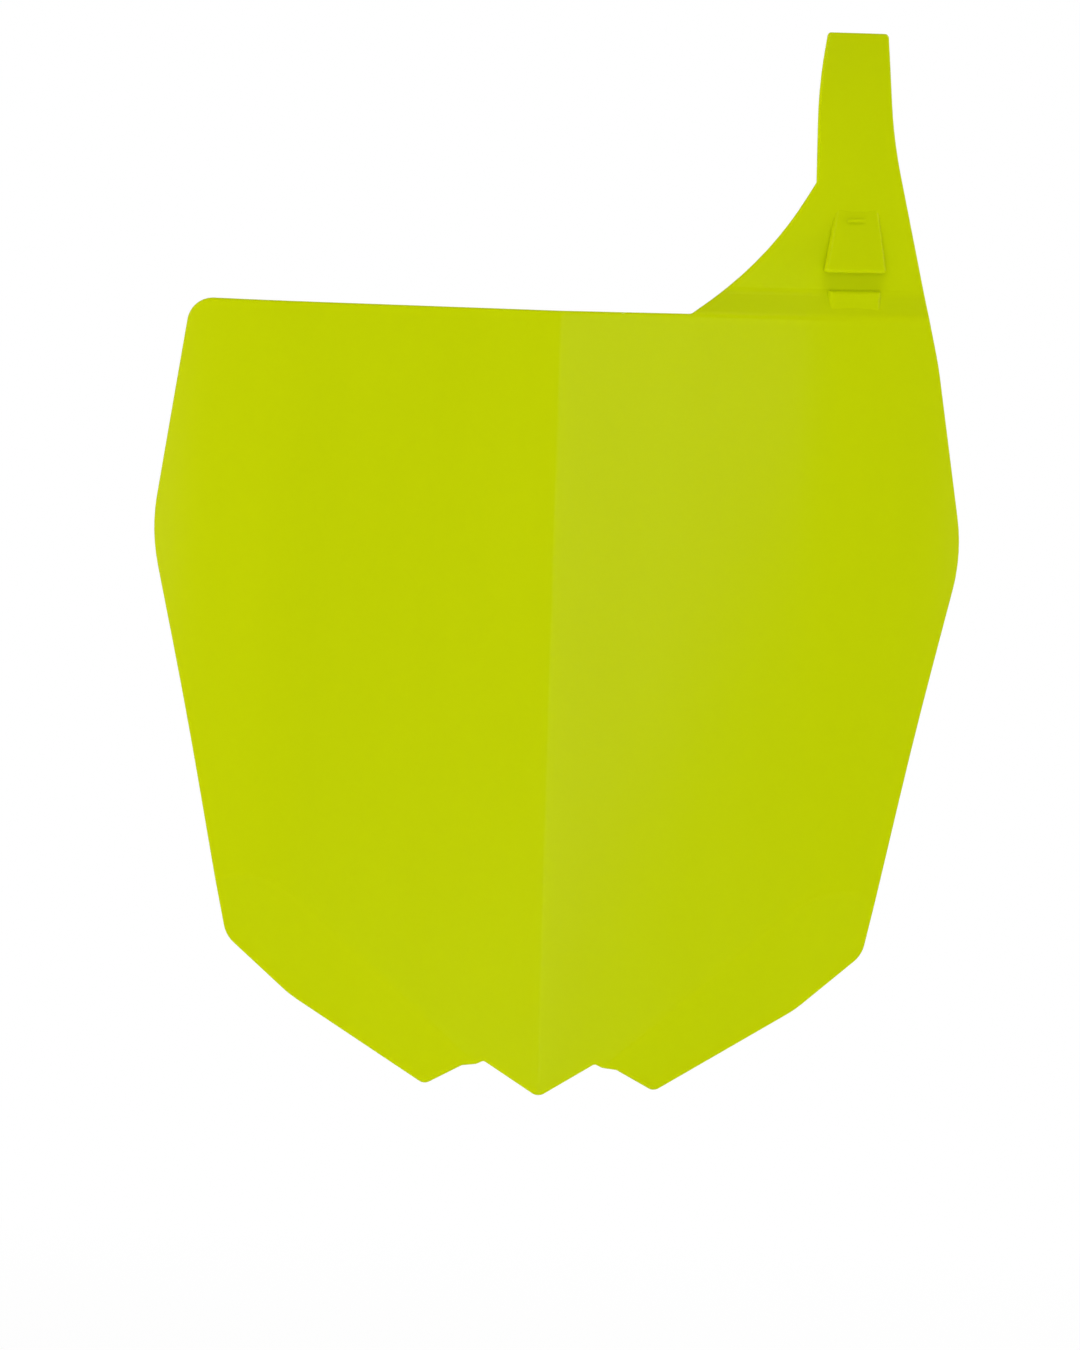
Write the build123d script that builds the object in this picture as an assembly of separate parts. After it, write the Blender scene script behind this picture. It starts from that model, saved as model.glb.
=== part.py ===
from build123d import *
import os
from math import asin, cos, radians, sin, tan

# A motocross front number board: one injection moulding in polypropylene.
# A creased shield with its sides curled back, and a hose strap moulded on at the top right.
# Millimetres. While it is modelled, x is to the right of someone who faces the board,
# y runs back from the crease and z up from the lower tip.

# Wall and edges
WALL = 2.2
RIM_ROUND = 0.8

# Section of the board from above: two flat flanks that meet in a crease, then the curled sides
FLANK_ANGLE = 12.0
FLANK_WIDTH = 72.0
CREASE_ROUND = 3.0
CURL_RADIUS = 110.0
CURL_ANGLE = 28.0

# Outline of the shield from the front, right half; heights are above the lower tip,
# and tucks are how far a corner lies inside the widest one, the side
TIP_ROUND = 3.5
NOTCH_X = 16.4
NOTCH_Z = 9.9
NOTCH_ROUND = 1.2
STEP_X = 18.6
STEP_Z = 8.8
LEDGE_X = 22.8
LEDGE_Z = 8.1
STEP_ROUND = 1.0
PRONG_X = 34.0
PRONG_Z = 1.4
PRONG_ROUND = 3.0
HEM_X = 75.2
HEM_Z = 25.7
HEM_ROUND = 30.0
LOW_CORNER_TUCK = 26.3
LOW_CORNER_Z = 42.3
LOW_CORNER_ROUND = 9.0
WAIST_TUCK = 12.4
WAIST_Z = 109.5
WAIST_ROUND = 1500.0
SIDE_X = 121.1
SIDE_Z = 161.9
SIDE_ROUND = 55.0
TOP_TUCK = 10.7
TOP_Z = 232.0
TOP_ROUND = 8.0

# Lower flanges, folded back from the centre panel along a crease that starts in each notch
FLANGE_RISE_ANGLE = 40.4
FLANGE_FOLD_ANGLE = 14.0
FLANGE_ROUND = 6.0

# Hose strap and the web that carries it; rises are above the top edge of the shield
SHOULDER_TUCK = 9.1
SHOULDER_DROP = 14.0
SHOULDER_ROUND = 100.0
WEB_FOOT_X = 38.1
WEB_FOOT_ROUND = 2.0
WEB_MID_X = 59.9
WEB_MID_RISE = 16.0
WEB_MID_ROUND = 105.0
STRAP_ROOT_X = 73.8
STRAP_ROOT_RISE = 39.4
STRAP_ROOT_ROUND = 1.0
STRAP_LEFT_X = 73.6
STRAP_LEFT_RISE = 68.0
STRAP_RIGHT_X = 96.4
STRAP_RIGHT_RISE = 52.7
STRAP_EDGE_ROUND = 140.0
STRAP_TIP_LEFT = 76.0
STRAP_TIP_RIGHT = 94.1
STRAP_TIP_RISE = 83.8
STRAP_TIP_ROUND = 1.2

# The web is set back from the board by a joggle, and the strap leans back towards its tip
JOGGLE_DEPTH = 4.5
JOGGLE_HEIGHT = 7.0
JOGGLE_ROUND = 4.0
STRAP_BEND_RADIUS = 110.0
STRAP_LEAN_ANGLE = 23.0

# Louvre in the web that the strap's tip is threaded through, and the pad that it lands on
HOOD_X = 86.0
HOOD_RISE = 13.2
HOOD_HEIGHT = 20.2
HOOD_BOTTOM_WIDTH = 18.7
HOOD_TOP_WIDTH = 12.4
HOOD_PROUD = 6.0
HOOD_WALL = 1.7
HOOD_SIDE_ROUND = 1.2
HOOD_LIP_ROUND = 0.8
CATCH_DROP = 4.4
CATCH_WIDTH = 5.2
CATCH_HEIGHT = 1.0
CATCH_PROUD = 0.9
PAD_RISE = 7.8
PAD_WIDTH = 15.8
PAD_HEIGHT = 12.8
PAD_LEAN = 2.4
PAD_ROUND = 1.5

# Fixing lug behind the crease, below the top edge: a shelf on two ribs, with a hole for an M6 bolt
LUG_DROP = 36.0
LUG_REACH = 22.0
LUG_WIDTH = 24.0
LUG_THICK = 3.0
LUG_HOLE = 6.6
LUG_RIB = 2.0
LUG_RIB_DROP = 24.0

# Locating pegs low on the flanks
PEG_X = 30.0
PEG_Z = 62.0
PEG_DIAMETER = 8.0
PEG_LENGTH = 12.0
PEG_CHAMFER = 1.0
COLLAR_DIAMETER = 13.0
COLLAR_RISE = 5.0
ROOT_ROUND = 1.0

# Room left round the moulding for the solids that are trimmed to it
TRIM = 10.0
FORM_BOTTOM = -1.5
TOUCH = 0.005

flank = radians(FLANK_ANGLE)
edge_angle = radians(FLANK_ANGLE + CURL_ANGLE)
curl_end = FLANK_WIDTH + CURL_RADIUS * (sin(edge_angle) - sin(flank))
half_width = max(SIDE_X, curl_end) + TRIM
lean = radians(STRAP_LEAN_ANGLE)
strap_root = TOP_Z + STRAP_ROOT_RISE
strap_tip = TOP_Z + STRAP_TIP_RISE
form_top = strap_tip + TRIM
curl_depth = CURL_RADIUS * (cos(flank) - cos(edge_angle))
form_back = FLANK_WIDTH * tan(flank) + curl_depth + JOGGLE_DEPTH + LUG_REACH + LUG_WIDTH + TRIM
hood_bottom = TOP_Z + HOOD_RISE
hood_slope = HOOD_PROUD / HOOD_HEIGHT
hood_run = HOOD_HEIGHT + HOOD_WALL
lug_z = TOP_Z - LUG_DROP
collar_back = PEG_X * tan(flank) + WALL / cos(flank) + COLLAR_RISE


def plan(inset):
    """Everything behind the front skin, seen from above, with the skin set back by inset."""
    away = Vector(cos(flank), sin(flank))
    inward = Vector(-sin(flank), cos(flank))
    nose = Vector(0, inset / cos(flank))
    bend = Vector(FLANK_WIDTH, FLANK_WIDTH * tan(flank)) + inward * inset
    curl = JernArc(bend, away, CURL_RADIUS - inset, CURL_ANGLE)
    leave = curl % 1
    edge = curl @ 1 + leave * ((half_width - (curl @ 1).X) / leave.X)
    half = Curve() + [
        Line(nose, bend),
        curl,
        Polyline(curl @ 1, edge, (edge.X, form_back), (0, form_back)),
    ]
    face = make_face(half + mirror(half, about=Plane.YZ))
    return fillet(face.vertices().sort_by(Axis.Y)[0], CREASE_ROUND - inset)


def rise_path():
    """Line that the section follows upwards: straight, through the joggle, then leaning back."""
    joggle_top = TOP_Z + JOGGLE_HEIGHT
    bend_start = strap_root + STRAP_BEND_RADIUS * tan(lean / 2)
    over = form_top - bend_start
    corners = [
        (0, 0, FORM_BOTTOM),
        (0, 0, TOP_Z),
        (0, JOGGLE_DEPTH, joggle_top),
        (0, JOGGLE_DEPTH, bend_start),
        (0, JOGGLE_DEPTH + over * tan(lean), form_top),
    ]
    return FilletPolyline(corners, radius=[JOGGLE_ROUND, JOGGLE_ROUND, STRAP_BEND_RADIUS])


def flange_plane(side, inset):
    """Plane of a lower flange, facing forward; side is 1 on the right and -1 on the left."""
    rise = radians(FLANGE_RISE_ANGLE)
    fold = radians(FLANGE_FOLD_ANGLE)
    along = Vector(side * cos(rise), cos(rise) * tan(flank), sin(rise)).normalized()
    forward = Vector(side * sin(flank), -cos(flank), 0)
    down = along.cross(forward) * side
    facing = forward * cos(fold) + down * sin(fold)
    start = Vector(side * STEP_X, STEP_X * tan(flank), STEP_Z)
    return Plane(start - facing * inset, x_dir=along, z_dir=facing)


def upright(inset):
    """Block with the creased and joggled front skin, before the lower flanges are folded."""
    return sweep(Pos(0, 0, FORM_BOTTOM) * plan(inset), path=rise_path(), normal=(0, 0, 1))


def form(inset):
    """Block with the board's whole front skin, set back by inset, and all that lies behind it."""
    block = upright(inset)
    for side in (1, -1):
        plane = flange_plane(side, inset)
        block = split(block, bisect_by=plane, keep=Keep.BOTTOM)
        folds = [
            edge
            for edge in block.edges()
            if abs(plane.to_local_coords(edge @ 0.5).Z) < TOUCH
            and abs((edge @ 0.5).X) < half_width - TOUCH
            and (edge @ 0.5).Z > FORM_BOTTOM + TOUCH
        ]
        block = fillet(folds, FLANGE_ROUND - inset)
    return block


def outline():
    """Front outline of the moulding: the shield with the strap on its top right."""
    lower = [
        (NOTCH_X, NOTCH_Z, NOTCH_ROUND),
        (STEP_X, STEP_Z, STEP_ROUND),
        (LEDGE_X, LEDGE_Z, STEP_ROUND),
        (PRONG_X, PRONG_Z, PRONG_ROUND),
        (HEM_X, HEM_Z, HEM_ROUND),
        (SIDE_X - LOW_CORNER_TUCK, LOW_CORNER_Z, LOW_CORNER_ROUND),
        (SIDE_X - WAIST_TUCK, WAIST_Z, WAIST_ROUND),
        (SIDE_X, SIDE_Z, SIDE_ROUND),
    ]
    strap = [
        (SIDE_X - SHOULDER_TUCK, TOP_Z - SHOULDER_DROP, SHOULDER_ROUND),
        (STRAP_RIGHT_X, TOP_Z + STRAP_RIGHT_RISE, STRAP_EDGE_ROUND),
        (STRAP_TIP_RIGHT, strap_tip, STRAP_TIP_ROUND),
        (STRAP_TIP_LEFT, strap_tip, STRAP_TIP_ROUND),
        (STRAP_LEFT_X, TOP_Z + STRAP_LEFT_RISE, STRAP_EDGE_ROUND),
        (STRAP_ROOT_X, strap_root, STRAP_ROOT_ROUND),
        (WEB_MID_X, TOP_Z + WEB_MID_RISE, WEB_MID_ROUND),
        (WEB_FOOT_X, TOP_Z, WEB_FOOT_ROUND),
    ]
    left = [(-x, z, r) for x, z, r in reversed(lower)]
    top_left = (TOP_TUCK - SIDE_X, TOP_Z, TOP_ROUND)
    corners = [(0, 0, TIP_ROUND)] + lower + strap + [top_left] + left
    places = [(x, z) for x, z, r in corners]
    rounds = [r for x, z, r in corners]
    return Plane.XZ * make_face(FilletPolyline(places, radius=rounds, close=True))


def through(sketch):
    """Prism of a front sketch that runs right through the moulding from front to back."""
    return extrude(sketch, amount=form_back, both=True)


def front_box(x, width, bottom, top):
    """Upright slot of space, right through the moulding, for trimming a raised detail."""
    return through(Plane.XZ * Pos(x, (bottom + top) / 2) * Rectangle(width, top - bottom))


def skin_depth(x):
    """How far the front skin of the shield lies behind the crease, at a distance x to the right of it."""
    turn = asin(max(x - FLANK_WIDTH, 0) / CURL_RADIUS + sin(flank))
    return min(x, FLANK_WIDTH) * tan(flank) + CURL_RADIUS * (cos(flank) - cos(turn))


def ramp(width, set_back, bottom, lean, height, inset):
    """Block with a flat front across the louvre's place, which leans back as it rises."""
    left = Vector(HOOD_X - width / 2, skin_depth(HOOD_X - width / 2))
    right = Vector(HOOD_X + width / 2, skin_depth(HOOD_X + width / 2))
    inward = (right - left).rotate(Axis.Z, 90).normalized() * inset
    front = [left + inward, right + inward]
    back = [(corner.X, form_back - lean) for corner in reversed(front)]
    base = make_face(Polyline(front + back, close=True))
    climb = Vector(0, lean, height)
    return extrude(Pos(0, set_back, bottom) * base, amount=climb.length, dir=climb)


def hood_block(inset):
    """Ramp of the louvre and all that lies behind it, with the ramp set back by inset."""
    width = HOOD_BOTTOM_WIDTH + 2 * HOOD_WALL
    return ramp(width, JOGGLE_DEPTH - HOOD_PROUD, hood_bottom, hood_slope * hood_run, hood_run, inset)


def front_edges(block, bottom, top):
    """Edges round the front of a block that have their middles between two heights."""
    fronts = [face for face in block.faces() if face.normal_at().Y < -TOUCH]
    return [
        edge
        for edge in block.edges()
        if bottom < (edge @ 0.5).Z < top
        and sum(face.distance_to(edge @ 0.5) < TOUCH for face in fronts) == 1
    ]


def hood_outline(margin):
    """Tapered outline of the louvre from the front, drawn in by margin at its sides."""
    taper = (HOOD_BOTTOM_WIDTH - HOOD_TOP_WIDTH) / 2 / HOOD_HEIGHT
    foot = HOOD_BOTTOM_WIDTH / 2 - margin
    head = foot - taper * hood_run
    left = [(HOOD_X - foot, hood_bottom), (HOOD_X - head, hood_bottom + hood_run)]
    right = [(HOOD_X + head, hood_bottom + hood_run), (HOOD_X + foot, hood_bottom)]
    return Plane.XZ * make_face(Polyline(left + right, close=True))


def louvre(board, inner):
    """Raise the hood on the web, open it at the back and the bottom, and add its catch."""
    hood = hood_block(0) & through(hood_outline(0))
    hood = fillet(front_edges(hood, hood_bottom + TOUCH, hood_bottom + hood_run - TOUCH), HOOD_SIDE_ROUND)
    hood = fillet(front_edges(hood, hood_bottom - TOUCH, hood_bottom + TOUCH), HOOD_LIP_ROUND)
    passage = hood_block(HOOD_WALL) & through(hood_outline(HOOD_WALL))
    catch_top = hood_bottom + HOOD_HEIGHT - CATCH_DROP
    catch = hood_block(-CATCH_PROUD) - hood_block(HOOD_WALL / 2)
    catch &= front_box(HOOD_X, CATCH_WIDTH, catch_top - CATCH_HEIGHT, catch_top)
    return board + (hood - inner) - passage + catch


def landing_pad():
    """Ramp that carries the face of the board up over the joggle, where the strap's tip comes to lie."""
    pad_top = TOP_Z + PAD_RISE
    pad_bottom = pad_top - PAD_HEIGHT
    pad = ramp(PAD_WIDTH, 0, pad_bottom, PAD_LEAN, PAD_HEIGHT, 0)
    return fillet(front_edges(pad, pad_bottom + TOUCH, pad_top + TOUCH), PAD_ROUND) - upright(WALL / 2)


def fixing_lug():
    """Shelf behind the crease with two ribs below it; the bolt goes down through the shelf."""
    tab = Pos(0, LUG_REACH / 2) * Rectangle(LUG_WIDTH, LUG_REACH)
    tab += Pos(0, LUG_REACH) * Circle(LUG_WIDTH / 2)
    tab -= Pos(0, LUG_REACH) * Circle(LUG_HOLE / 2)
    lug = Pos(0, 0, lug_z) * extrude(tab, amount=LUG_THICK / 2, both=True)
    profile = Polyline((0, lug_z), (LUG_REACH, lug_z), (0, lug_z - LUG_RIB_DROP), close=True)
    rib = extrude(Plane.YZ * make_face(profile), amount=LUG_RIB / 2, both=True)
    rib_x = (LUG_WIDTH - LUG_RIB) / 2
    return lug + Pos(rib_x, 0, 0) * rib + Pos(-rib_x, 0, 0) * rib


def locating_peg(side):
    """Peg with a collar, square to the crease, that pushes back into a grommet."""
    facing_back = Plane(origin=(side * PEG_X, 0, PEG_Z), x_dir=(1, 0, 0), z_dir=(0, 1, 0))
    collar = extrude(facing_back * Circle(COLLAR_DIAMETER / 2), amount=collar_back)
    peg = extrude(facing_back * Circle(PEG_DIAMETER / 2), amount=collar_back + PEG_LENGTH)
    tip = peg.edges().sort_by(Axis.Y)[-1]
    return collar + chamfer(tip, PEG_CHAMFER)


def grow(board, piece, inner):
    """Grow a piece from the back of the board, with a fillet all round its root."""
    joined = board + piece
    root = [
        edge
        for edge in joined.edges()
        if piece.distance_to(edge @ 0.5) < TOUCH and inner.distance_to(edge @ 0.5) < TOUCH
    ]
    return fillet(root, ROOT_ROUND)


def round_rim(board, blank, inner):
    """Round the front edge of the outline, all the way round."""
    walls = Compound([face for face in blank.faces() if abs(face.normal_at().Y) < TOUCH])
    rim = [
        edge
        for edge in board.edges()
        if walls.distance_to(edge @ 0.5) < TOUCH and inner.distance_to(edge @ 0.5) > WALL / 2
    ]
    return fillet(rim, RIM_ROUND)


outer = form(0)
inner = form(WALL)
blank = through(outline())
board = (outer - inner) & blank
board = round_rim(board, blank, inner)
board = louvre(board, inner)
board += landing_pad()
core = Pos(0, WALL / 2, 0) * outer
for piece in (fixing_lug(), locating_peg(1), locating_peg(-1)):
    board = grow(board, piece & core, inner)

# The origin is the middle of the bolt hole in the lug
board = Pos(0, -LUG_REACH, -lug_z) * board

os.makedirs("parts", exist_ok=True)
export_step(board, "parts/number_board.step")
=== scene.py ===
"""Finish and studio for a moulded racing number board, laid out as a Blender add-on."""

from math import cos, pi, radians, sin

import bmesh
import bpy
from bpy.props import FloatProperty, FloatVectorProperty, IntProperty, PointerProperty
from bpy.types import NodeSocket, Operator, Panel, PropertyGroup
from mathutils import Matrix, Quaternion, Vector


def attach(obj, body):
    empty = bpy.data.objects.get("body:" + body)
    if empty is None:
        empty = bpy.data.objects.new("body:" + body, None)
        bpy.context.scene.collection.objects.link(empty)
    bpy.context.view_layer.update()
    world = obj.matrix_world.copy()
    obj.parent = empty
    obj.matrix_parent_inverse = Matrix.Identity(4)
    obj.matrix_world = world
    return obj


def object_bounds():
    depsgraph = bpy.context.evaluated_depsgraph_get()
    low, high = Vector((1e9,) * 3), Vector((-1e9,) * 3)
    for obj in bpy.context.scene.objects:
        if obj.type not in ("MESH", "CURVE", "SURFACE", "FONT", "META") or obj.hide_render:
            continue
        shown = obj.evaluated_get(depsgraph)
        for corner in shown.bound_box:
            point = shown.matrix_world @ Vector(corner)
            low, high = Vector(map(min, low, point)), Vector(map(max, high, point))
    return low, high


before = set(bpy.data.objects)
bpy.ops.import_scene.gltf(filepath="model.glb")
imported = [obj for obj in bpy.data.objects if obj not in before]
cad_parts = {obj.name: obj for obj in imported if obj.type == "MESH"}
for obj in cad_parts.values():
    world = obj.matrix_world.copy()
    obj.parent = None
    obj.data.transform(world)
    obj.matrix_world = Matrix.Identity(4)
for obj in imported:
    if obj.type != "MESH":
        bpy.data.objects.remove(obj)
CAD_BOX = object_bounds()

bl_info = {
    "name": "Racing Number Board",
    "version": (1, 0, 0),
    "blender": (4, 5, 0),
    "location": "View3D > Sidebar > Board",
    "description": "Finishes a moulded racing number board and sets it in a white studio",
    "category": "Object",
}

# Names in the frame
BODY = "root"
BOARD = "number_board"

# Places in the frame: the crease is the board's foremost line, and its tip is the lowest point
CREASE_Y = CAD_BOX[0].y
REAR_Y = CAD_BOX[1].y
TIP_Z = CAD_BOX[0].z
MIDDLE = (CAD_BOX[0] + CAD_BOX[1]) / 2

MM = 0.001
WHITE = "#FFFFFF"

# The photograph's frame, in its own pixels, and where the middle of the board lies in it
FRAME_WIDTH_PX = 1080
FRAME_HEIGHT_PX = 1350
MIDDLE_X_PX = 551.0
MIDDLE_Y_PX = 689.8

# Polypropylene bends light this much, and its pigment lets red and green spread further than blue
PLASTIC_IOR = 1.49
LIGHT_SPREAD = (1.0, 1.0, 0.1)

# Layers of noise, each finer than the last, in the streaks, the ripples and the grain
STREAK_LAYERS = 3.0
RIPPLE_LAYERS = 1.0
GRAIN_LAYERS = 2.0

# Front and back finish mix on edges that face forward or back by less than this share
SIDE_BLEND = 0.2

# Round stubs: sides of the circle, steps of the eased edge, and the angle under which faces look smooth
STUB_SIDES = 48
STUB_EDGE_STEPS = 3
SMOOTH_ANGLE = radians(40)

# Sockets of the colour mix node, which go by number because their names repeat
MIX_FACTOR, MIX_FIRST, MIX_SECOND, MIX_RESULT = 0, 6, 7, 2


def linear(hex_colour):
    """Linear red, green and blue of an sRGB hex colour."""
    channels = [int(hex_colour[i:i + 2], 16) / 255 for i in (1, 3, 5)]
    return tuple(c / 12.92 if c <= 0.04045 else ((c + 0.055) / 1.055) ** 2.4 for c in channels)


class BoardFinish(PropertyGroup):
    """Colour and surface of the moulding."""

    colour: FloatVectorProperty(
        name="Colour", description="Main colour of the pigmented plastic",
        subtype="COLOR", size=3, min=0, max=1, default=linear("#BCCA00"),
    )
    streak_colour: FloatVectorProperty(
        name="Streak Colour", description="Paler colour of the flow streaks in the plastic",
        subtype="COLOR", size=3, min=0, max=1, default=linear("#BFCD02"),
    )
    streak_width: FloatProperty(
        name="Streak Width", description="Width of a flow streak",
        unit="LENGTH", subtype="DISTANCE", min=MM, default=24 * MM,
    )
    streak_length: FloatProperty(
        name="Streak Length", description="Length of a flow streak, which runs up the board",
        unit="LENGTH", subtype="DISTANCE", min=MM, default=150 * MM,
    )
    ripple_size: FloatProperty(
        name="Ripple Size", description="Width of the slow ripples in the moulded face",
        unit="LENGTH", subtype="DISTANCE", min=MM, default=14 * MM,
    )
    ripple_depth: FloatProperty(
        name="Ripple Depth", description="Depth of the ripples",
        unit="LENGTH", subtype="DISTANCE", min=0, default=0.02 * MM,
    )
    grain_size: FloatProperty(
        name="Grain Size", description="Width of the fine grain of the mould",
        unit="LENGTH", subtype="DISTANCE", min=0.1 * MM, default=0.9 * MM,
    )
    grain_depth: FloatProperty(
        name="Grain Depth", description="Depth of the grain on the back",
        unit="LENGTH", subtype="DISTANCE", min=0, default=0.03 * MM,
    )
    front_grain: FloatProperty(
        name="Front Grain", description="Share of the grain's depth that the smooth front has",
        subtype="FACTOR", min=0, max=1, default=0.2,
    )
    front_roughness: FloatProperty(
        name="Front Roughness", description="Roughness of the polished side of the mould",
        subtype="FACTOR", min=0, max=1, default=0.22,
    )
    back_roughness: FloatProperty(
        name="Back Roughness", description="Roughness of the grained side of the mould",
        subtype="FACTOR", min=0, max=1, default=0.55,
    )
    roughness_spread: FloatProperty(
        name="Roughness Spread", description="How much the roughness changes along the streaks",
        subtype="FACTOR", min=0, max=1, default=0.08,
    )
    specular: FloatProperty(
        name="Specular", description="Strength of the reflection at the surface",
        subtype="FACTOR", min=0, max=1, default=0.03,
    )
    translucence: FloatProperty(
        name="Translucence",
        description="Share of the light that goes into the plastic and comes out elsewhere",
        subtype="FACTOR", min=0, max=1, default=0.5,
    )
    light_reach: FloatProperty(
        name="Light Reach", description="How far light spreads inside the plastic",
        unit="LENGTH", subtype="DISTANCE", min=0, default=1.5 * MM,
    )


class MouldMarks(PropertyGroup):
    """Marks that the mould leaves on the back of the board."""

    pin_diameter: FloatProperty(
        name="Pin Diameter", description="Diameter of an ejector pin's mark",
        unit="LENGTH", subtype="DISTANCE", min=MM, default=6 * MM,
    )
    pin_height: FloatProperty(
        name="Pin Height", description="How far an ejector pin's mark stands proud",
        unit="LENGTH", subtype="DISTANCE", min=0, default=0.25 * MM,
    )
    pin_rows: IntProperty(
        name="Pin Rows", description="Rows of ejector marks, one above the other", min=2, default=3,
    )
    lowest_row: FloatProperty(
        name="Lowest Row", description="Height of the lowest row above the board's tip",
        unit="LENGTH", subtype="DISTANCE", default=92 * MM,
    )
    highest_row: FloatProperty(
        name="Highest Row", description="Height of the highest row above the board's tip",
        unit="LENGTH", subtype="DISTANCE", default=214 * MM,
    )
    inner_column: FloatProperty(
        name="Inner Column", description="Distance of the inner marks from the crease",
        unit="LENGTH", subtype="DISTANCE", default=40 * MM,
    )
    outer_column: FloatProperty(
        name="Outer Column", description="Distance of the outer marks from the crease",
        unit="LENGTH", subtype="DISTANCE", default=88 * MM,
    )
    gate_diameter: FloatProperty(
        name="Gate Diameter", description="Diameter of the trimmed stub where the plastic came in",
        unit="LENGTH", subtype="DISTANCE", min=MM, default=5 * MM,
    )
    gate_height: FloatProperty(
        name="Gate Height", description="Length of the trimmed stub",
        unit="LENGTH", subtype="DISTANCE", min=0, default=1.6 * MM,
    )
    gate_above_tip: FloatProperty(
        name="Gate Above Tip", description="Height of the stub above the board's tip",
        unit="LENGTH", subtype="DISTANCE", default=128 * MM,
    )


class WhiteStudio(PropertyGroup):
    """Floor and light. A lamp's level is the brightness that it gives a white card."""

    floor_size: FloatProperty(
        name="Floor Size", description="Length of each side of the floor",
        unit="LENGTH", subtype="DISTANCE", default=16.0,
    )
    floor_drop: FloatProperty(
        name="Floor Drop", description="How far below the board's tip the floor lies",
        unit="LENGTH", subtype="DISTANCE", default=0.25,
    )
    floor_colour: FloatVectorProperty(
        name="Floor Colour", description="Colour of the floor",
        subtype="COLOR", size=3, min=0, max=1, default=linear("#F7F7F5"),
    )
    floor_veil: FloatProperty(
        name="Floor Veil",
        description="How far the floor under the board is lifted to white, shadow and all",
        subtype="FACTOR", min=0, max=1, default=0.8,
    )
    floor_reach: FloatProperty(
        name="Floor Reach",
        description="Distance from the board at which the floor has turned quite white",
        unit="LENGTH", subtype="DISTANCE", min=0.1, default=1.5,
    )
    ambient: FloatProperty(
        name="Ambient", description="Level of the light that comes from all round",
        min=0, default=0.22,
    )
    left_level: FloatProperty(
        name="Left Level", description="Level of the left softbox", min=0, default=0.45,
    )
    left_colour: FloatVectorProperty(
        name="Left Colour", description="Colour of the left softbox, which is a warm white",
        subtype="COLOR", size=3, min=0, max=1, default=linear("#FFF2E0"),
    )
    right_level: FloatProperty(
        name="Right Level", description="Level of the right softbox", min=0, default=0.26,
    )
    front_level: FloatProperty(
        name="Front Level", description="Level of the front softbox", min=0, default=0.33,
    )
    back_level: FloatProperty(
        name="Back Level", description="Level of the back softbox", min=0, default=0.5,
    )
    top_level: FloatProperty(
        name="Top Level", description="Level of the top softbox", min=0, default=0.27,
    )
    low_level: FloatProperty(
        name="Low Level", description="Level of the low strip", min=0, default=0.13,
    )


class SheenCard(PropertyGroup):
    """Bright card beside the camera that the right flank mirrors."""

    brightness: FloatProperty(
        name="Brightness", description="Brightness of the card itself, where white is 1",
        min=0, default=3.6,
    )
    azimuth: FloatProperty(
        name="Azimuth", description="How far to the right of the crease the card stands",
        unit="ROTATION", subtype="ANGLE", default=radians(23),
    )
    distance: FloatProperty(
        name="Distance", description="Distance from the crease to the card's plane",
        unit="LENGTH", subtype="DISTANCE", default=220 * MM,
    )
    left_shift: FloatProperty(
        name="Left Shift", description="How far the card is moved to the left in its plane",
        unit="LENGTH", subtype="DISTANCE", default=42 * MM,
    )
    drop: FloatProperty(
        name="Drop", description="How far the card's middle lies below the lug's bolt hole",
        unit="LENGTH", subtype="DISTANCE", default=73 * MM,
    )
    width: FloatProperty(
        name="Width", description="Width of the card",
        unit="LENGTH", subtype="DISTANCE", min=MM, default=180 * MM,
    )
    length: FloatProperty(
        name="Length", description="Length of the card",
        unit="LENGTH", subtype="DISTANCE", min=MM, default=288 * MM,
    )
    roll: FloatProperty(
        name="Roll", description="How far the card is rolled about its middle",
        unit="ROTATION", subtype="ANGLE", default=radians(-23),
    )


class PhotoCamera(PropertyGroup):
    """Where the camera stands, and the scale of its picture."""

    azimuth: FloatProperty(
        name="Azimuth", description="How far to the right of the crease the camera stands",
        unit="ROTATION", subtype="ANGLE", default=radians(0.86),
    )
    elevation: FloatProperty(
        name="Elevation", description="How far above the board's middle the camera stands",
        unit="ROTATION", subtype="ANGLE", default=radians(4.29),
    )
    roll: FloatProperty(
        name="Roll", description="How far the board leans clockwise in the picture",
        unit="ROTATION", subtype="ANGLE", default=radians(1.70),
    )
    distance: FloatProperty(
        name="Distance", description="Distance from the camera to the board's middle",
        unit="LENGTH", subtype="DISTANCE", default=2.4,
    )
    middle_z: FloatProperty(
        name="Middle Height", description="Height of the board's middle above the lug's bolt hole",
        unit="LENGTH", subtype="DISTANCE", default=-77 * MM,
    )
    pixels_per_mm: FloatProperty(
        name="Pixels per Millimetre", description="Scale of the picture at the board's middle",
        min=0.1, default=3.372,
    )


def add_node(tree, kind, inputs=None, **settings):
    """Add a node with its settings, and set or link each input that is given by name or number."""
    node = tree.nodes.new(kind)
    for name, value in settings.items():
        setattr(node, name, value)
    for socket, value in (inputs or {}).items():
        if isinstance(value, NodeSocket):
            tree.links.new(value, node.inputs[socket])
        else:
            node.inputs[socket].default_value = value
    return node


def blank_material(name):
    """New material with an empty node tree and its output node."""
    material = bpy.data.materials.new(name)
    material.use_nodes = True
    material.node_tree.nodes.clear()
    return material, add_node(material.node_tree, "ShaderNodeOutputMaterial")


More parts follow.
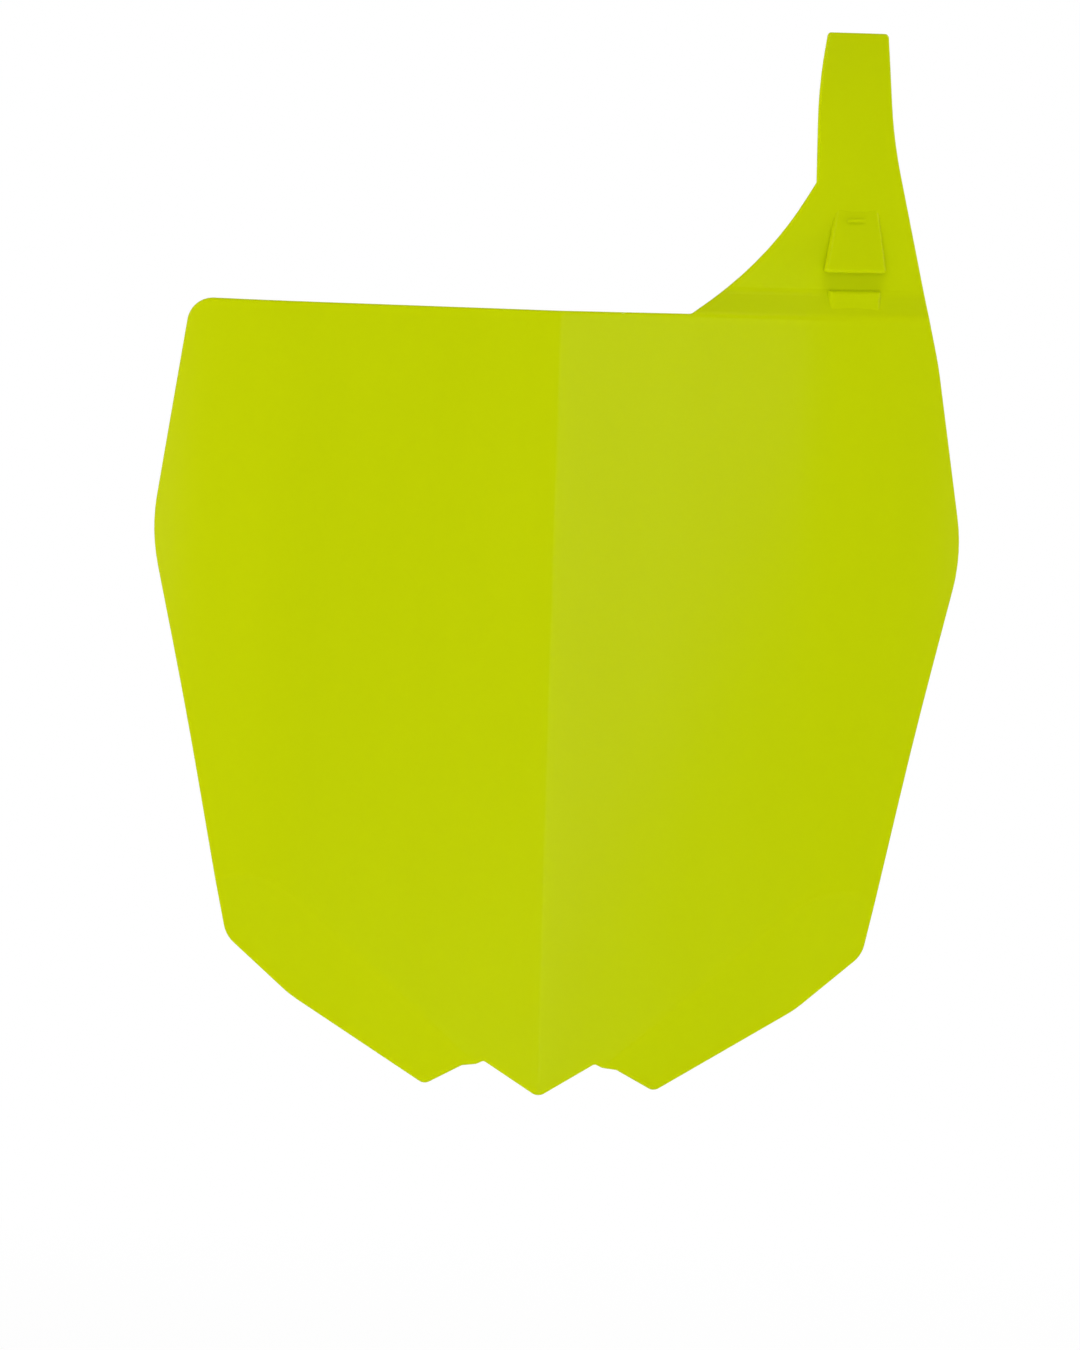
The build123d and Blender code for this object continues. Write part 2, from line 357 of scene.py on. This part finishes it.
def flow_streaks(tree, place, finish):
    """Socket that rises and falls across the flow streaks, which run up the board from the gate."""
    across, along = 1 / finish.streak_width, 1 / finish.streak_length
    stretched = add_node(tree, "ShaderNodeMapping", {
        "Vector": place.outputs["Object"], "Scale": (across, across, along),
    })
    streaks = add_node(tree, "ShaderNodeTexNoise", {
        "Vector": stretched.outputs["Vector"], "Scale": 1.0, "Detail": STREAK_LAYERS,
    })
    return streaks.outputs["Fac"]


def by_side(tree, place, front, back):
    """Socket with one value on the front and another on the back, told apart by the way a face turns."""
    facing = add_node(tree, "ShaderNodeSeparateXYZ", {"Vector": place.outputs["Normal"]})
    side = add_node(tree, "ShaderNodeMapRange", {
        "Value": facing.outputs["Y"], "From Min": -SIDE_BLEND, "From Max": SIDE_BLEND,
        "To Min": front, "To Max": back,
    })
    return side.outputs["Result"]


def satin_roughness(tree, place, streaks, finish):
    """Socket of the roughness: each side of the mould has its own, and it changes along the streaks."""
    side = by_side(tree, place, finish.front_roughness, finish.back_roughness)
    change = add_node(tree, "ShaderNodeMapRange", {
        "Value": streaks,
        "To Min": -finish.roughness_spread / 2, "To Max": finish.roughness_spread / 2,
    })
    roughness = add_node(tree, "ShaderNodeMath", {
        0: side, 1: change.outputs["Result"],
    }, operation="ADD", use_clamp=True)
    return roughness.outputs["Value"]


def mould_relief(tree, place, finish):
    """Socket of the normal: slow ripples all over, and a grain that is deep on the back alone.

    The grain is drawn about three times as coarse as a real one, so that it shows.
    """
    ripples = add_node(tree, "ShaderNodeTexNoise", {
        "Vector": place.outputs["Object"], "Scale": 1 / finish.ripple_size, "Detail": RIPPLE_LAYERS,
    })
    rippled = add_node(tree, "ShaderNodeBump", {
        "Height": ripples.outputs["Fac"], "Strength": 1.0, "Distance": finish.ripple_depth,
    })
    grain = add_node(tree, "ShaderNodeTexNoise", {
        "Vector": place.outputs["Object"], "Scale": 1 / finish.grain_size, "Detail": GRAIN_LAYERS,
    })
    grained = add_node(tree, "ShaderNodeBump", {
        "Height": grain.outputs["Fac"], "Strength": by_side(tree, place, finish.front_grain, 1.0),
        "Distance": finish.grain_depth, "Normal": rippled.outputs["Normal"],
    })
    return grained.outputs["Normal"]


def moulded_polypropylene(finish):
    """Injection-moulded polypropylene in a fluorescent yellow-green.

    To the eye it is one strong even colour with a satin face. The front came off a polished
    mould, so it has only slow ripples that soften its reflections. The back came off a grained one.
    """
    material, output = blank_material("moulded_polypropylene")
    tree = material.node_tree
    place = add_node(tree, "ShaderNodeTexCoord")
    streaks = flow_streaks(tree, place, finish)
    pigment = add_node(tree, "ShaderNodeMix", {
        MIX_FACTOR: streaks,
        MIX_FIRST: (*finish.colour, 1.0),
        MIX_SECOND: (*finish.streak_colour, 1.0),
    }, data_type="RGBA")
    plastic = add_node(tree, "ShaderNodeBsdfPrincipled", {
        "Base Color": pigment.outputs[MIX_RESULT],
        "Roughness": satin_roughness(tree, place, streaks, finish),
        "Normal": mould_relief(tree, place, finish),
        "IOR": PLASTIC_IOR,
        "Specular IOR Level": finish.specular,
        "Subsurface Weight": finish.translucence,
        "Subsurface Scale": finish.light_reach,
        "Subsurface Radius": LIGHT_SPREAD,
    })
    tree.links.new(plastic.outputs["BSDF"], output.inputs["Surface"])
    return material


def opaque_copy(plastic):
    """The same plastic for thin marks, which are too shallow for light to spread inside them."""
    material = plastic.copy()
    material.name = f"{plastic.name}_marks"
    for node in material.node_tree.nodes:
        if node.type == "BSDF_PRINCIPLED":
            node.inputs["Subsurface Weight"].default_value = 0.0
    return material


def seen_share(tree):
    """Socket that is 1 for what the camera sees, straight or in a gloss or a glass, and 0 for light."""
    path = add_node(tree, "ShaderNodeLightPath")
    mirrored = add_node(tree, "ShaderNodeMath", {
        0: path.outputs["Is Glossy Ray"], 1: path.outputs["Is Transmission Ray"],
    }, operation="MAXIMUM")
    seen = add_node(tree, "ShaderNodeMath", {
        0: path.outputs["Is Camera Ray"], 1: mirrored.outputs["Value"],
    }, operation="MAXIMUM")
    return seen.outputs["Value"]


def seamless_paper(studio):
    """White seamless paper: matt and pale, so the eye gets only a soft shadow from it."""
    material, output = blank_material("seamless_paper")
    tree = material.node_tree
    paper = add_node(tree, "ShaderNodeBsdfDiffuse", {"Color": (*studio.floor_colour, 1.0)})
    white = add_node(tree, "ShaderNodeEmission", {"Strength": 1.0})
    place = add_node(tree, "ShaderNodeTexCoord")
    away = add_node(tree, "ShaderNodeVectorMath", {0: place.outputs["Object"]}, operation="LENGTH")
    fade = add_node(tree, "ShaderNodeMapRange", {
        "Value": away.outputs["Value"], "From Max": studio.floor_reach,
        "To Min": studio.floor_veil, "To Max": 1.0,
    })
    veil = add_node(tree, "ShaderNodeMath", {
        0: seen_share(tree), 1: fade.outputs["Result"],
    }, operation="MULTIPLY")
    mixed = add_node(tree, "ShaderNodeMixShader", {
        0: veil.outputs["Value"], 1: paper.outputs["BSDF"], 2: white.outputs["Emission"],
    })
    tree.links.new(mixed.outputs["Shader"], output.inputs["Surface"])
    return material


def only_select(piece):
    """Make one object the selected and active one."""
    bpy.ops.object.select_all(action="DESELECT")
    piece.select_set(True)
    bpy.context.view_layer.objects.active = piece


class NUMBERBOARD_OT_finish_moulding(Operator):
    """Give the moulding its plastic"""

    bl_idname = "number_board.finish_moulding"
    bl_label = "Finish Moulding"

    def execute(self, context):
        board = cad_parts[BOARD]
        board.material_slots[0].material = moulded_polypropylene(context.scene.board_finish)
        return {"FINISHED"}


def round_stub(name, diameter, height):
    """Short round stub on the origin, along Z, sunk as deep as it is high, with its top edge eased."""
    bpy.ops.object.select_all(action="DESELECT")
    bpy.ops.mesh.primitive_cylinder_add(vertices=STUB_SIDES, radius=diameter / 2, depth=2 * height)
    stub = bpy.context.object
    stub.name = name
    stub.data.name = name
    bpy.ops.object.mode_set(mode="EDIT")
    bpy.ops.mesh.select_mode(type="EDGE")
    mesh = bmesh.from_edit_mesh(stub.data)
    for edge in mesh.edges:
        edge.select = all(vertex.co.z > height / 2 for vertex in edge.verts)
    bmesh.update_edit_mesh(stub.data)
    bpy.ops.mesh.bevel(offset=height / 2, segments=STUB_EDGE_STEPS, affect="EDGES")
    bpy.ops.object.mode_set(mode="OBJECT")
    bpy.ops.object.shade_smooth_by_angle(angle=SMOOTH_ANGLE)
    return stub


def stand_on_back(stub, x, z):
    """Stand a stub on the back of the board, square to it, at a place seen from behind."""
    start = Vector((x, REAR_Y, z))
    found, place, normal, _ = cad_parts[BOARD].ray_cast(start, Vector((0, -1, 0)))
    if not found:
        raise RuntimeError(f"the board has no back at {x:.3f}, {z:.3f}")
    only_select(stub)
    stub.matrix_world = Matrix.Translation(place) @ normal.to_track_quat("Z", "X").to_matrix().to_4x4()
    bpy.ops.object.transform_apply(location=True, rotation=True, scale=True)


def settle(stub, material):
    """Give a stub its plastic and fix it to the board."""
    stub.data.materials.clear()
    stub.data.materials.append(material)
    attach(stub, BODY)


class NUMBERBOARD_OT_add_mould_marks(Operator):
    """Add the ejector pins' marks and the trimmed gate to the back"""

    bl_idname = "number_board.add_mould_marks"
    bl_label = "Add Mould Marks"

    def execute(self, context):
        marks = context.scene.mould_marks
        plastic = opaque_copy(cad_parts[BOARD].material_slots[0].material)
        step = (marks.highest_row - marks.lowest_row) / (marks.pin_rows - 1)
        pattern = round_stub("ejector_mark", marks.pin_diameter, marks.pin_height)
        for row in range(marks.pin_rows):
            for column in (marks.inner_column, marks.outer_column):
                for side, side_name in ((-1, "left"), (1, "right")):
                    only_select(pattern)
                    bpy.ops.object.duplicate()
                    mark = bpy.context.object
                    mark.name = f"ejector_mark_{row}_{column / MM:.0f}_{side_name}"
                    stand_on_back(mark, side * column, TIP_Z + marks.lowest_row + row * step)
                    settle(mark, plastic)
        bpy.data.objects.remove(pattern)
        gate = round_stub("gate_stub", marks.gate_diameter, marks.gate_height)
        stand_on_back(gate, 0.0, TIP_Z + marks.gate_above_tip)
        settle(gate, plastic)
        return {"FINISHED"}


def lay_floor(studio):
    """Flat floor of seamless paper below the board."""
    bpy.ops.object.select_all(action="DESELECT")
    bpy.ops.mesh.primitive_plane_add(size=studio.floor_size)
    floor = bpy.context.object
    floor.name = "floor"
    floor.location.z = TIP_Z - studio.floor_drop
    bpy.ops.object.transform_apply(location=True, rotation=False, scale=False)
    floor.data.materials.append(seamless_paper(studio))


def light_surround(studio):
    """World that looks white and lights the board softly from all round."""
    world = bpy.data.worlds.new("white_surround")
    world.use_nodes = True
    tree = world.node_tree
    tree.nodes.clear()
    level = add_node(tree, "ShaderNodeMapRange", {
        "Value": seen_share(tree), "To Min": studio.ambient, "To Max": 1.0,
    })
    light = add_node(tree, "ShaderNodeBackground", {
        "Color": (*linear(WHITE), 1.0), "Strength": level.outputs["Result"],
    })
    output = add_node(tree, "ShaderNodeOutputWorld")
    tree.links.new(light.outputs["Background"], output.inputs["Surface"])
    bpy.context.scene.world = world


def bearing_to(azimuth, elevation):
    """Direction from the board to something that far round to the right and that far up."""
    return Vector((sin(azimuth) * cos(elevation), -cos(azimuth) * cos(elevation), sin(elevation)))


def area_lamp(name, place, facing, roll, width, length, colour):
    """Rectangular lamp at a place, its face turned along a direction and rolled about it."""
    bpy.ops.object.light_add(type="AREA", location=place)
    lamp = bpy.context.object
    lamp.name = name
    turn = (-facing).to_track_quat("Z", "Y") @ Quaternion((0, 0, 1), roll)
    lamp.rotation_euler = turn.to_euler()
    lamp.data.shape = "RECTANGLE"
    lamp.data.size = width
    lamp.data.size_y = length
    lamp.data.color = colour
    return lamp


def softbox(name, level, azimuth, elevation, distance, width, length, colour=linear(WHITE)):
    """Soft lamp, in metres, that faces the board's middle and gives a white card that level."""
    away = bearing_to(azimuth, elevation)
    lamp = area_lamp(name, MIDDLE + away * distance, -away, 0.0, width, length, colour)
    # A flat lamp lights a card that faces it with its power over pi and the distance squared,
    # and a white card is as bright as its light over pi
    lamp.data.energy = level * (pi * distance) ** 2
    return lamp


def hang_softboxes(studio):
    """Large lamps on all sides, and a low strip that shines up under the louvre's lip."""
    softbox(
        "left_softbox", studio.left_level, azimuth=radians(-92), elevation=radians(4),
        distance=2.2, width=1.4, length=1.6, colour=studio.left_colour,
    )
    softbox(
        "right_softbox", studio.right_level, azimuth=radians(95), elevation=radians(4),
        distance=2.2, width=1.4, length=1.6,
    )
    front = softbox(
        "front_softbox", studio.front_level, azimuth=radians(-4), elevation=radians(8),
        distance=2.6, width=1.2, length=1.2,
    )
    softbox(
        "back_softbox", studio.back_level, azimuth=radians(145), elevation=radians(32),
        distance=2.6, width=1.2, length=1.2,
    )
    softbox(
        "top_softbox", studio.top_level, azimuth=radians(8), elevation=radians(50),
        distance=2.2, width=1.4, length=1.0,
    )
    softbox(
        "low_softbox", studio.low_level, azimuth=radians(0), elevation=radians(-20),
        distance=1.0, width=1.2, length=0.16,
    )
    # The rounded crease would mirror the front lamp as a pale line
    front.visible_glossy = False


def hang_sheen_card(sheen):
    """Card that lights nothing and only shows as a sheen, where the right flank mirrors it."""
    away = bearing_to(sheen.azimuth, 0.0)
    leftwards = Vector((-cos(sheen.azimuth), -sin(sheen.azimuth), 0))
    place = Vector((0, CREASE_Y, -sheen.drop)) + away * sheen.distance + leftwards * sheen.left_shift
    card = area_lamp("sheen_card", place, -away, sheen.roll, sheen.width, sheen.length, linear(WHITE))
    # A flat lamp's power is pi times its brightness and its area
    card.data.energy = pi * sheen.brightness * sheen.width * sheen.length
    card.visible_diffuse = False


def place_camera(view):
    """Camera at the photograph's angle and scale."""
    back = bearing_to(view.azimuth, view.elevation)
    level = Vector((cos(view.azimuth), sin(view.azimuth), 0))
    upright = back.cross(level)
    right = level * cos(view.roll) + upright * sin(view.roll)
    up = upright * cos(view.roll) - level * sin(view.roll)
    metres_per_px = MM / view.pixels_per_mm
    aim = Vector((0, 0, view.middle_z))
    aim -= right * (MIDDLE_X_PX - FRAME_WIDTH_PX / 2) * metres_per_px
    aim += up * (MIDDLE_Y_PX - FRAME_HEIGHT_PX / 2) * metres_per_px
    bpy.ops.object.camera_add()
    camera = bpy.context.object
    camera.name = "photo_camera"
    axes = Matrix((right, up, back)).transposed().to_4x4()
    camera.matrix_world = Matrix.Translation(aim + back * view.distance) @ axes
    camera.data.lens = camera.data.sensor_width * view.distance / (FRAME_HEIGHT_PX * metres_per_px)
    bpy.context.scene.camera = camera


class NUMBERBOARD_OT_set_stage(Operator):
    """Lay the floor, hang the lamps and place the camera"""

    bl_idname = "number_board.set_stage"
    bl_label = "Set Stage"

    def execute(self, context):
        scene = context.scene
        lay_floor(scene.white_studio)
        light_surround(scene.white_studio)
        hang_softboxes(scene.white_studio)
        hang_sheen_card(scene.sheen_card)
        place_camera(scene.photo_camera)
        scene.view_settings.view_transform = "Standard"
        return {"FINISHED"}


class NUMBERBOARD_PT_sidebar(Panel):
    """Sidebar panel that lists the steps and their settings"""

    bl_label = "Racing Number Board"
    bl_idname = "NUMBERBOARD_PT_sidebar"
    bl_space_type = "VIEW_3D"
    bl_region_type = "UI"
    bl_category = "Board"

    def draw(self, context):
        for step, groups in STEPS.items():
            box = self.layout.box()
            box.operator(step.bl_idname)
            for group in groups:
                settings = getattr(context.scene, group)
                for name in settings.__annotations__:
                    box.prop(settings, name)


# Settings by the name that they have on the scene, and each step with the settings that it reads
SETTINGS = {
    "board_finish": BoardFinish,
    "mould_marks": MouldMarks,
    "white_studio": WhiteStudio,
    "sheen_card": SheenCard,
    "photo_camera": PhotoCamera,
}
STEPS = {
    NUMBERBOARD_OT_finish_moulding: ("board_finish",),
    NUMBERBOARD_OT_add_mould_marks: ("mould_marks",),
    NUMBERBOARD_OT_set_stage: ("white_studio", "sheen_card", "photo_camera"),
}
CLASSES = (*SETTINGS.values(), *STEPS, NUMBERBOARD_PT_sidebar)


def register():
    """Register the classes and give the scene its settings."""
    for cls in CLASSES:
        bpy.utils.register_class(cls)
    for name, group in SETTINGS.items():
        setattr(bpy.types.Scene, name, PointerProperty(type=group))


def unregister():
    """Take the settings off the scene and unregister the classes."""
    for name in SETTINGS:
        delattr(bpy.types.Scene, name)
    for cls in reversed(CLASSES):
        bpy.utils.unregister_class(cls)


def main():
    """Register the add-on and run its steps in order."""
    register()
    bpy.ops.number_board.finish_moulding()
    bpy.ops.number_board.add_mould_marks()
    bpy.ops.number_board.set_stage()


if __name__ == "__main__":
    main()
